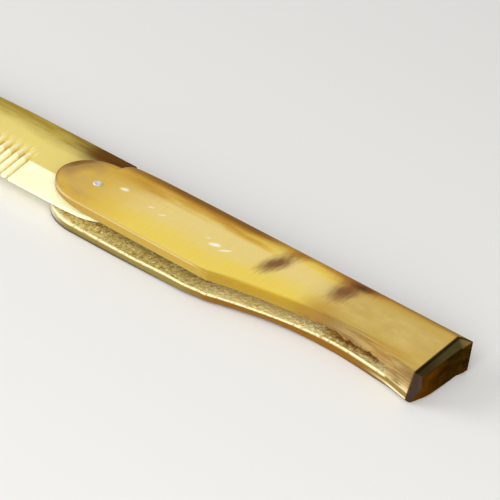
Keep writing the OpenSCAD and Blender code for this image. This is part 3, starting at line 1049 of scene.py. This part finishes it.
def new_material(name, nodes=None):
    """A material with a Principled shader: the material, its painter and the shader."""
    material = bpy.data.materials.new(name)
    material.use_nodes = True
    material.node_tree.nodes.clear()
    paint = Painter(material.node_tree, nodes)
    shader = paint.add("ShaderNodeBsdfPrincipled")
    paint.add("ShaderNodeOutputMaterial", {"Surface": shader.outputs[0]}, location=(400, 0))
    return material, paint, shader


def translucence(weight, radius):
    """Inputs that let light spread inside the horn, further for red than for blue, under a clear polish."""
    spread = {"Subsurface Radius": (1.0, 0.75, 0.4), "Subsurface Scale": radius / MM}
    return {"Subsurface Weight": weight, **spread, "IOR": 1.54}


def horn_figure(paint, place, colours):
    """The colour of the handle's upper face: bands along it that wander, duller to the butt, with spots, and
    painted shade on the side walls and on the waist's bevel.
    """
    rise, fall, band = paint.rise, paint.fall, paint.band
    x, y, _ = paint.axes(place)
    across, inset, border = paint.attributes("across", "inset", "border")
    cloudy = paint.streak(place, (0.05, 0.28, 0.2), 0.3, 0.7)
    mottle = paint.streak(place, (0.16, 0.22, 0.2), 0.35, 0.7)
    along = paint.streak(place, (0.03, 1.3, 1.0), 0.4, 0.7)
    wander = paint.calc("MULTIPLY_ADD", cloudy, 0.16, paint.calc("SUBTRACT", across, 0.08))
    back = rise(paint.calc("SUBTRACT", wander, paint.remap(x, 30.0, 60.0, 0.0, 0.14)), 0.6, 0.92)
    at_side = fall(inset, 0.35, 0.6)
    figure = (
        (colours.cloud, 0.85, band(wander, 0.2, 0.5, 0.64, 0.84), rise(x, -2.0, 12.0)),
        (colours.nose, 0.85, fall(x, -4.0, 20.0)),
        (colours.olive, 0.9, rise(x, 61.0, 72.0)),
        (colours.cloud, 0.35, mottle, band(wander, 0.1, 0.3, 0.6, 0.8)),
        (colours.amber, 0.95, back, rise(x, 0.0, 10.0), fall(x, 74.0, 90.0, 0.6)),
        (colours.brown, 0.95, rise(across, 0.84, 0.94), band(x, 0.0, 8.0, 40.0, 52.0)),
        (colours.brown, 0.65, rise(across, 0.88, 0.96), rise(x, 46.0, 84.0, 0.5)),
        (colours.tan, 0.8, fall(border, 2.0, 5.5), fall(x, -7.0, 0.0), rise(y, -5.0, 0.0)),
        (colours.tan, 0.35, mottle, fall(x, -2.0, 8.0)),
        (colours.brown, 0.8, fall(border, 0.9, 2.2), fall(x, -7.5, -5.0), band(y, 1.0, 3.5, 7.5, 9.6)),
        (colours.rust, 0.15, along, back),
        # Painted reflection: the waist's bevel is a darker gold
        (colours.gold, 0.95, fall(inset, 0.0, 1.3), band(x, 39.0, 42.0, 72.0, 80.0)),
        # Painted shade: the side walls are darker than the face
        (colours.side, 0.85, at_side, fall(x, 40.0, 43.0)),
        (colours.rose, 0.95, at_side, rise(x, 60.0, 72.0)),
        (colours.patch, 0.4, along, fall(inset, 1.0, 3.2), rise(x, 64.0, 72.0)),
        (colours.rust, 0.75, fall(border, 0.25, 0.7), fall(x, -8.5, -6.0)),
    )

    # Each spot: colour, strength, centre, turn in degrees, half sizes, fraying and softness
    spots = (
        (colours.amber, 0.45, (7.0, 8.5), 0, (13.0, 7.0), 0.3, 1.0),
        (colours.amber, 0.5, (69.0, -1.5), 10, (7.0, 5.0), 0.4, 1.0),
        (colours.amber, 0.4, (91.0, -3.5), 6, (11.0, 3.6), 0.4, 1.0),
        (colours.patch, 0.95, (51.4, 4.9), 72, (8.4, 3.7), 0.6, 0.85),
        (colours.rust, 0.7, (53.5, 11.5), 20, (6.0, 3.4), 0.5, 0.95),
        (colours.patch, 0.95, (70.0, 7.8), 80, (8.0, 4.4), 0.6, 0.85),
        (colours.rust, 0.95, (72.0, 12.2), 4, (9.5, 3.4), 0.5, 0.9),
        (colours.end_grain, 0.75, (72.3, 11.6), 6, (4.6, 2.0), 0.4, 0.95),
        (colours.brown, 0.6, (2.6, 12.5), 0, (5.0, 3.6), 0.3, 0.95),
        (colours.brown, 0.6, (-9.7, 2.2), 65, (4.6, 1.5), 0.3, 0.85),
        (colours.pearl, 1.0, (36.2, 0.3), 20, (2.1, 1.0), 0.5, 0.7),
        (colours.pearl, 0.8, (39.4, 0.1), 38, (2.3, 0.6), 0.4, 0.8),
        (colours.pearl, 0.9, (6.3, 2.9), 12, (1.7, 1.0), 0.5, 0.85),
        (colours.pearl, 0.55, (19.5, 0.9), 30, (1.5, 0.5), 0.5, 0.8),
        (colours.pearl, 0.5, (15.6, 1.6), 30, (1.3, 0.5), 0.5, 0.8),
        (colours.pearl, 0.4, (33.2, 1.4), 24, (1.2, 0.5), 0.5, 0.8),
    )
    marks = [(tint, strength, paint.spot(place, *form)) for tint, strength, *form in spots]
    return paint.layered(colours.honey, (*figure, *marks))


def handle_material(colours, nodes):
    """Polished blond horn with its figure and painted highlights along the lips and edges, a lower cheek
    painted darker as shade, and a butt end painted dark, partly its end grain and partly painted shade.
    """
    material, paint, shader = new_material("polished horn", nodes)
    rise, fall, both = paint.rise, paint.fall, paint.both
    place = paint.place_mm()
    x, y, z = paint.axes(place)
    fine = paint.streak(place, (2.2, 0.16, 0.3), 0.25, 0.75)
    glow = paint.streak(place, (0.3, 0.16, 0.35), 0.35, 0.65)
    ragged = paint.streak(place, (1.1, 1.1, 1.1), 0.2, 0.55)
    nibbled = paint.streak(place, (0.8, 0.7, 0.7), 0.46, 0.56)
    lines = paint.streak(place, (0.02, 1.0, 1.1), 0.38, 0.65)
    scuffs = paint.streak(place, (0.5, 2.0, 1.0), 0.3, 0.8)
    border, inset, mouth, rim = paint.attributes("border", "inset", "mouth", "rim")
    end, slope, facet = paint.attributes("end", "slope", "facet")
    on_side = fall(inset, 0.5, 0.8)
    low_highlight_line = both(on_side, rise(z, 0.8, 1.1), fall(z, 1.4, 1.8))
    on_upper = fall(inset, 0.42, 0.6)
    thin_line = both(on_upper, rise(z, 8.9, 9.2), fall(z, 9.5, 9.6))
    in_lower = both(fall(z, 2.9, 3.1), fall(border, 2.4, 3.4))
    on_slope, on_facet = both(end, slope), both(end, facet)
    layers = (
        (colours.amber, 0.08, fine),
        (colours.cloud, 0.25, lines, on_side, rise(x, 70.0, 80.0)),
        # Painted highlights: cream streaks on the near side towards the butt
        (colours.rim, 0.7, lines, on_side, rise(x, 88.0, 96.0), fall(z, 2.0, 6.0)),
        (colours.rim, 0.55, on_side, rise(x, 92.0, 100.0), fall(z, 2.0, 5.0)),
        # Painted highlight: a thin bright line along the upper bevel, up to the shoulder
        (colours.rim, 0.25, on_upper, rise(z, 9.6, 9.7), fall(x, 36.0, 40.0)),
        (colours.amber, 0.4, thin_line, fall(x, 36.0, 40.0)),
        (colours.brown, 0.35, on_upper, fall(z, 9.2, 9.6), fall(x, -8.0, 2.0)),
        (colours.brown, 0.85, mouth, nibbled),
        # Painted shade: the lower cheek is darker, its downward bevel darker still and its set-in waist a
        # darker amber
        (colours.lower_side, 0.95, in_lower),
        (colours.lower_bevel, 0.95, in_lower, fall(z, 0.3, 1.3)),
        (colours.pearl, 0.45, in_lower, fall(x, -9.0, -1.0), rise(z, 0.6, 1.4)),
        (colours.lower_amber, 0.9, in_lower, rise(x, 32.0, 44.0), fall(x, 76.0, 94.0, 0.3)),
        # Painted highlight: a cream line along the lower bevel towards the butt
        (colours.rim, 0.8, low_highlight_line, rise(x, 84.0, 90.0)),
        # The butt's end: dark end grain and painted shade, a painted amber glow, a painted dark line along
        # the slope's top edge, and a painted glint on the facet that is lighter to the right and darker at
        # its left edge
        (colours.end_grain, 1.0, end),
        (colours.end_amber, 0.8, end, glow, rise(y, -6.0, 8.0)),
        (colours.brown, 0.3, end, fall(y, -6.0, 9.0)),
        (colours.rust, 0.25, end, glow, fall(y, -2.0, 6.0)),
        (colours.slope, 1.0, on_slope),
        (colours.end_grain, 0.5, on_slope, fall(y, -3.0, 5.0)),
        (colours.tan, 0.35, on_slope, rise(y, 10.5, 13.0)),
        (colours.end_grain, 0.8, on_slope, rise(z, 9.5, 9.8)),
        (colours.facet, 0.9, on_facet),
        (colours.tan, 0.65, on_facet, rise(x, 100.8, 102.2), rise(z, 1.0, 5.0)),
        (colours.end_grain, 0.4, on_facet, fall(x, 100.0, 101.4)),
        # Painted highlight along the lower lip
        (colours.rim, 0.95, rim, ragged),
    )
    dull = paint.calc("MAXIMUM", end, both(in_lower, 0.6))
    surface = {
        "Base Color": paint.layered(horn_figure(paint, place, colours), layers),
        "Roughness": paint.calc("MULTIPLY_ADD", end, 0.2, paint.span(scuffs, 0.16, 0.28)),
        "Specular IOR Level": paint.span(dull, 0.45, 0.0),
        "Normal": paint.bump(fine, 0.05, 0.1),
    }
    paint.wire(shader, {**surface, **translucence(0.3, 1.0)})
    return material


def sawn_material(colours, nodes):
    """The slot's inside: rough olive gold with slanting saw scratches, torn fibres painted as glints, painted
    light further along the slot, and painted highlight and shade in the saw's scallops.
    """
    material, paint, shader = new_material("sawn horn", nodes)
    rise, fall = paint.rise, paint.fall
    place = paint.place_mm()
    x = paint.axes(place)[0]
    slanted = paint.spun(place, math.radians(22))
    scratch = paint.streak(slanted, (1.7, 0.5, 0.8), 0.35, 0.65)
    grain = paint.streak(place, (2.6, 2.0, 2.0), 0.4, 0.62)
    torn = paint.streak(slanted, (2.0, 1.1, 1.5), 0.55, 0.72)
    curls = paint.streak(place, (0.9, 0.5, 0.8), 0.45, 0.6)
    dents = paint.streak(slanted, (2.4, 0.6, 1.0), 0.5, 0.62)
    inset, rim, scallop = paint.attributes("inset", "rim", "scallop")
    at_plunge = paint.both(rise(x, 68.0, 73.0), fall(x, 79.0, 86.0))
    layers = (
        (colours.sawn, 1.0, scratch),
        # Painted light: the floor is lighter from about 34 mm on
        (colours.sawn_light, 0.95, rise(x, 34.0, 46.0)),
        (colours.sawn_dark, 0.45, grain),
        (colours.brown, 0.55, dents, fall(x, 36.0, 46.0)),
        # Painted glints on the torn fibres
        (colours.pearl, 0.95, torn),
        (colours.amber, 0.12, rise(inset, 1.0, 3.0)),
        # Painted highlights on the curls
        (colours.rim, 0.6, curls, rise(x, 40.0, 56.0)),
        # Painted shade: the floor is a darker amber towards the slot's closed end
        (colours.amber, 0.75, rise(x, 68.0, 74.0), fall(x, 84.0, 90.0), rise(inset, 0.2, 1.2)),
        (colours.amber, 0.5, at_plunge),
        # Painted highlight in the scallops and painted shade along their edges
        (colours.rim, 0.35, rise(scallop, 0.3, 0.9)),
        (colours.brown, 0.75, rise(scallop, 0.0, 0.12), fall(scallop, 0.2, 0.5)),
        # Painted light on the floor under the upper lip
        (colours.cloud, 0.55, rise(x, 42.0, 47.0), fall(x, 58.0, 66.0), rise(inset, 0.8, 1.8)),
        # Painted highlight along the lower lip
        (colours.rim, 0.9, rim),
        # Painted shade: the lip's painted highlight is dimmed by the plunge marks
        (colours.sawn_dark, 0.9, at_plunge, rim, paint.span(curls, 1.0, 0.2)),
    )
    height = paint.calc("ADD", scratch, paint.calc("SUBTRACT", torn, grain))
    surface = {
        "Base Color": paint.layered(colours.sawn_dark, layers),
        "Roughness": paint.span(torn, 0.5, 0.3),
        "Specular IOR Level": 0.25,
        "Normal": paint.bump(height, 0.7, 0.3),
    }
    paint.wire(shader, {**surface, **translucence(0.3, 1.0)})
    return material


def comb_material(colours, nodes):
    """Pale satin horn: nearly white at the guard and teeth, partly paler horn and partly a painted sheen,
    olive gold at the spine, and a painted brown shadow by the handle.
    """
    material, paint, shader = new_material("comb horn", nodes)
    rise, fall = paint.rise, paint.fall
    place = paint.place_mm()
    x, y, _ = paint.axes(place)
    grain = paint.streak(place, (0.09, 1.5, 1.0), 0.3, 0.7)
    cloudy = paint.streak(place, (0.08, 0.2, 0.2), 0.3, 0.7)
    groove, teeth = paint.attributes("groove", "teeth")
    level = paint.calc("MULTIPLY_ADD", cloudy, 2.0, paint.calc("SUBTRACT", y, 1.0))
    layers = (
        # Paler horn with a painted sheen below the crease, and painted highlights on the teeth
        (colours.comb_pale, 1.0, fall(y, -1.2, -0.8)),
        (colours.comb_pale, 0.8, teeth),
        (colours.comb_dark, 1.0, rise(level, 7.0, 15.5)),
        # Painted shadow on the comb beside the handle
        (colours.comb_brown, 1.0, rise(x, -24.0, -8.0), rise(level, 6.0, 13.5)),
        (colours.comb_body, 0.25, grain, fall(x, -16.0, -8.0, 0.2)),
        (colours.comb_brown, 0.5, rise(x, -17.0, -9.0), rise(y, 10.0, 13.0)),
        (colours.groove, 0.35, groove),
    )
    surface = {
        "Base Color": paint.layered(colours.comb_body, layers),
        "Roughness": paint.span(grain, 0.38, 0.5),
        "Specular IOR Level": paint.remap(y, 5.0, 12.0, 0.3, 0.1),
        "Normal": paint.bump(grain, 0.12, 0.1),
    }
    paint.wire(shader, {**surface, **translucence(0.25, 0.4)})
    return material


def steel_material(colours, nodes):
    """Turned steel with faint hammer wear."""
    material, paint, shader = new_material("rivet steel", nodes)
    wear = paint.streak(paint.place_mm(), (2.5, 2.5, 2.5), 0.3, 0.7)
    surface = {
        "Base Color": paint.layered(colours.steel, [(colours.steel_worn, 0.25, wear)]),
        "Metallic": 0.55,
        "Roughness": paint.span(wear, 0.5, 0.62),
        "Normal": paint.bump(wear, 0.2, 0.1),
    }
    paint.wire(shader, surface)
    return material


def floor_material(colours):
    """A plain pale floor."""
    material, paint, shader = new_material("pale floor")
    paint.wire(shader, {"Base Color": colours.floor, "Roughness": 0.9, "Specular IOR Level": 0.1})
    return material


# Numbers stored at each vertex


def vertices_mm(mesh):
    """The vertices' places, in millimetres from the rivet's axis and the handle's lower face."""
    points = np.zeros(len(mesh.vertices) * 3)
    mesh.vertices.foreach_get("co", points)
    return (points.reshape(-1, 3) - np.array([PIVOT.x, PIVOT.y, 0])) * MM


def set_attribute(mesh, name, values):
    """Stores a number at each vertex."""
    layer = mesh.attributes.new(name, "FLOAT", "POINT")
    layer.data.foreach_set("value", values.astype(np.float32))


def mark_handle(mesh, h):
    """Stores where each vertex lies: across the face, in from its edge, on the butt and on the lips."""
    x, y, z = vertices_mm(mesh).T
    near, far = near_edge(x, h), far_edge(x, h)
    set_attribute(mesh, "across", np.clip((y - near) / np.maximum(far - near, 0.5), 0, 1))
    inset = np.minimum(y - near, 50)
    set_attribute(mesh, "inset", inset)
    nose = (1 - np.hypot(np.minimum(x, 0) / h.nose_len, y / h.nose_w)) * h.nose_w
    set_attribute(mesh, "border", np.where(x < 0, nose, np.minimum(inset, far - y)))

    planes = butt_planes(y, z, h)
    set_attribute(mesh, "end", ramp(1 - (butt_end(y, z, h) - x - 0.12) / 0.25))
    for name, key in (("slope", "slope"), ("facet", "near")):
        others = np.min([planes[other] for other in planes if other != key], axis=0)
        set_attribute(mesh, name, ramp((others - planes[key]) / 0.2 + 0.5))

    # The lower lip's painted highlight, along its polish, widens towards the slot's end and on the rounded
    # end
    above_lip = z - h.slot_floor + lip_wear(x, h)
    width = mix(0.4, 1.7, eased(x, 58, 74)) + 0.5 * eased(x, 10, -2)
    beside = ramp(1.5 - (inset - lower_inset(x, h)) / width)
    level = ramp((above_lip + h.lip + 0.25) / 0.2) * (above_lip < 0.5)
    set_attribute(mesh, "rim", beside * level * plateau(x, -9, -6, h.slot_end - 1.5, h.slot_end))

    # The upper lip is dark where it is torn
    above_roof = z - roof_height(x, h)
    torn = eased(above_roof, 1.2, 0.4) * (above_roof > -0.5) * eased(inset, 1.2, 0.6)
    set_attribute(mesh, "mouth", torn * plateau(x, 63, 66, h.slot_end - 2, h.slot_end))
    set_attribute(mesh, "scallop", np.clip(-plunge_marks(x, y, h) / h.plunge_depth, 0, 1))


def mark_comb(mesh, c):
    """Stores where the teeth and the grooves between them are. The saw cuts lie one pitch apart."""
    x, y, _ = vertices_mm(mesh).T
    count = tooth_count(c)
    nearest = np.clip(np.round((-x - c.first_gap) / c.pitch), 0, count)
    beside = np.abs(-x - c.first_gap - nearest * c.pitch) - c.gap / 2
    fade = eased(y, c.root + c.run_out, c.root)
    set_attribute(mesh, "groove", fade * eased(beside, 0.3, 0))
    among = ramp(-x - c.first_gap) * ramp(c.first_gap + count * c.pitch + x)
    set_attribute(mesh, "teeth", among * fade**1.6 * eased(beside, 0, 0.7))


# Operators


class COMB_OT_handle(bpy.types.Operator):
    """Makes the slotted horn handle"""

    bl_idname = "comb.handle"
    bl_label = "Handle"

    def execute(self, context):
        model = context.scene.folding_comb
        sizes, rivet = in_mm(model.handle), in_mm(model.rivet)
        colours, nodes = model.colours, groups()
        piece = make_handle(sizes, [handle_material(colours, nodes), sawn_material(colours, nodes)])
        drill(piece, rivet.shank + rivet.clearance / 2, -1, sizes.thickness + 1)
        mark_handle(piece.data, sizes)
        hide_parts("handle")
        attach(piece, "handle")
        return {"FINISHED"}


class COMB_OT_comb(bpy.types.Operator):
    """Makes the horn comb"""

    bl_idname = "comb.comb"
    bl_label = "Comb"

    def execute(self, context):
        model = context.scene.folding_comb
        sizes, rivet = in_mm(model.comb), in_mm(model.rivet)
        piece = make_comb(sizes, [comb_material(model.colours, groups())])
        drill(piece, rivet.shank + rivet.clearance, -1, in_mm(model.handle).thickness + 1)
        mark_comb(piece.data, sizes)
        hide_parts("comb")
        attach(piece, "comb")
        return {"FINISHED"}


class COMB_OT_rivet(bpy.types.Operator):
    """Makes the steel rivet"""

    bl_idname = "comb.rivet"
    bl_label = "Rivet"

    def execute(self, context):
        model = context.scene.folding_comb
        top = in_mm(model.handle).thickness
        piece = make_rivet(in_mm(model.rivet), top, [steel_material(model.colours, groups())])
        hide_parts("rivet")
        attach(piece, "handle")
        return {"FINISHED"}


class COMB_OT_stage(bpy.types.Operator):
    """Makes the floor, the lights and the camera"""

    bl_idname = "comb.stage"
    bl_label = "Stage"

    def execute(self, context):
        model = context.scene.folding_comb
        make_floor(model.colours)
        make_lights(context.scene, model.stage)
        make_camera(context.scene, model.stage)
        return {"FINISHED"}


def make_floor(colours):
    """A wide flat disc at the height that the comb rests on."""
    reach, gap = 6.0, 0.00002
    shell = Shell()
    profile = np.array([[0, 0], [0.2, 0], [1, 0]]) * reach * MM
    shell.add(revolved(profile, np.linspace(0, 2 * np.pi, 96, endpoint=False)), closed=True)
    floor = shell.build("floor", [floor_material(colours)])
    floor.location.z = cad_box[0].z - gap
    if floor.data.polygons[0].normal.z < 0:
        floor.data.flip_normals()


def make_light(name, place, size, power):
    """A square soft box, a little warm, at a place in metres, turned to the handle."""
    aim, tint = (0.03, 0.0, 0.0), (1, 0.99, 0.97)
    data = bpy.data.lights.new(name, "AREA")
    data.shape, data.size, data.energy, data.color = "SQUARE", size, power, tint
    light = bpy.data.objects.new(name, data)
    light.location = place
    light.rotation_euler = (Vector(aim) - Vector(place)).to_track_quat("-Z", "Y").to_euler()
    bpy.context.scene.collection.objects.link(light)
    return light


def make_lights(scene, stage):
    """A low light at the left, one at the front that gives no glints, one above, and even light all round."""
    scene.view_settings.view_transform = "Standard"
    world = bpy.data.worlds.new("even light")
    world.use_nodes = True
    background = world.node_tree.nodes["Background"]
    background.inputs["Color"].default_value = (0.93, 0.95, 1.0, 1)
    background.inputs["Strength"].default_value = stage.world
    scene.world = world
    make_light("key", (-0.9, -0.55, 0.42), 0.7, stage.key)
    fill = make_light("fill", (0.45, -0.78, 0.6), 1.0, stage.fill)
    fill.visible_glossy = False
    make_light("overhead", (0.0, 0.05, 0.9), 0.8, stage.overhead)


def make_camera(scene, stage):
    """The camera on its line to the target, rolled about that line."""
    data = bpy.data.cameras.new("camera")
    data.sensor_width, data.lens = 36, stage.lens
    data.clip_start, data.clip_end = 0.01, 20
    level = math.cos(stage.elevation)
    back = Vector(
        (math.sin(stage.azimuth) * level, -math.cos(stage.azimuth) * level, math.sin(stage.elevation))
    )
    target = Vector((PIVOT.x + stage.target_x, PIVOT.y + stage.target_y, stage.target_z))
    camera = bpy.data.objects.new("camera", data)
    turned = (-back).to_track_quat("-Z", "Y").to_matrix() @ Matrix.Rotation(stage.roll, 3, "Z")
    camera.matrix_world = Matrix.Translation(target + back * stage.distance) @ turned.to_4x4()
    scene.collection.objects.link(camera)
    scene.camera = camera


class COMB_PT_panel(bpy.types.Panel):
    """Lists the pieces in the sidebar"""

    bl_label = "Folding comb"
    bl_idname = "COMB_PT_panel"
    bl_space_type = "VIEW_3D"
    bl_region_type = "UI"
    bl_category = "Comb"

    def draw(self, context):
        for operator in OPERATORS:
            self.layout.operator(operator.bl_idname)


OPERATORS = (COMB_OT_stage, COMB_OT_handle, COMB_OT_comb, COMB_OT_rivet)
GROUPS = (HandleSizes, CombSizes, RivetSizes, Colours, StageSizes, CombModel)


def register():
    for made in (*GROUPS, *OPERATORS, COMB_PT_panel):
        bpy.utils.register_class(made)
    bpy.types.Scene.folding_comb = PointerProperty(type=CombModel)


def unregister():
    del bpy.types.Scene.folding_comb
    for made in reversed((*GROUPS, *OPERATORS, COMB_PT_panel)):
        bpy.utils.unregister_class(made)


def main():
    """Registers the classes and makes every piece."""
    register()
    bpy.ops.comb.stage()
    bpy.ops.comb.handle()
    bpy.ops.comb.comb()
    bpy.ops.comb.rivet()


if __name__ == "__main__":
    main()
